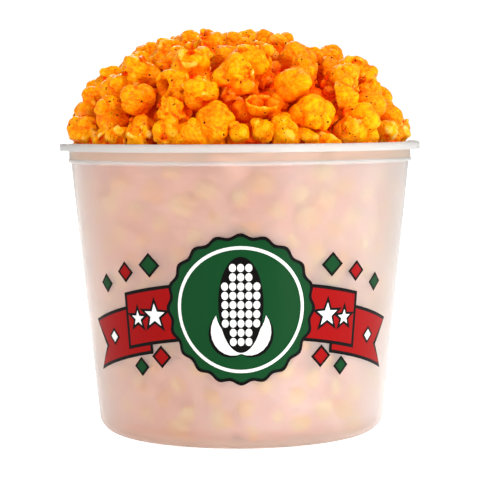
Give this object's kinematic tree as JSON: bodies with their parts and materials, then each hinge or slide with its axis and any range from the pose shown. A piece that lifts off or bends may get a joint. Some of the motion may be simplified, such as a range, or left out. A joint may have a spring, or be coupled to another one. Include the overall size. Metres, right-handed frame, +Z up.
{
  "type": "bucket of popcorn",
  "caption": "Round, tapered, frosted plastic bucket with a rolled rim, heaped high with orange cheese popcorn.",
  "frame": {"origin": "centre of the bucket's foot, on the surface that it stands on", "axes": "+Z up along the bucket's axis; the printed front of the wall faces -Y; +X to the right seen from the front"},
  "size_m": [0.232, 0.232, 0.2601],
  "materials": {
    "tub_plastic": "satin",
    "popcorn_flakes": "satin",
    "print_green": "gloss",
    "print_red": "gloss",
    "print_black": "gloss",
    "print_white": "gloss"
  },
  "bodies": {
    "root": {"tub": "tub_plastic", "popcorn": "popcorn_flakes"}
  },
  "joints": []
}
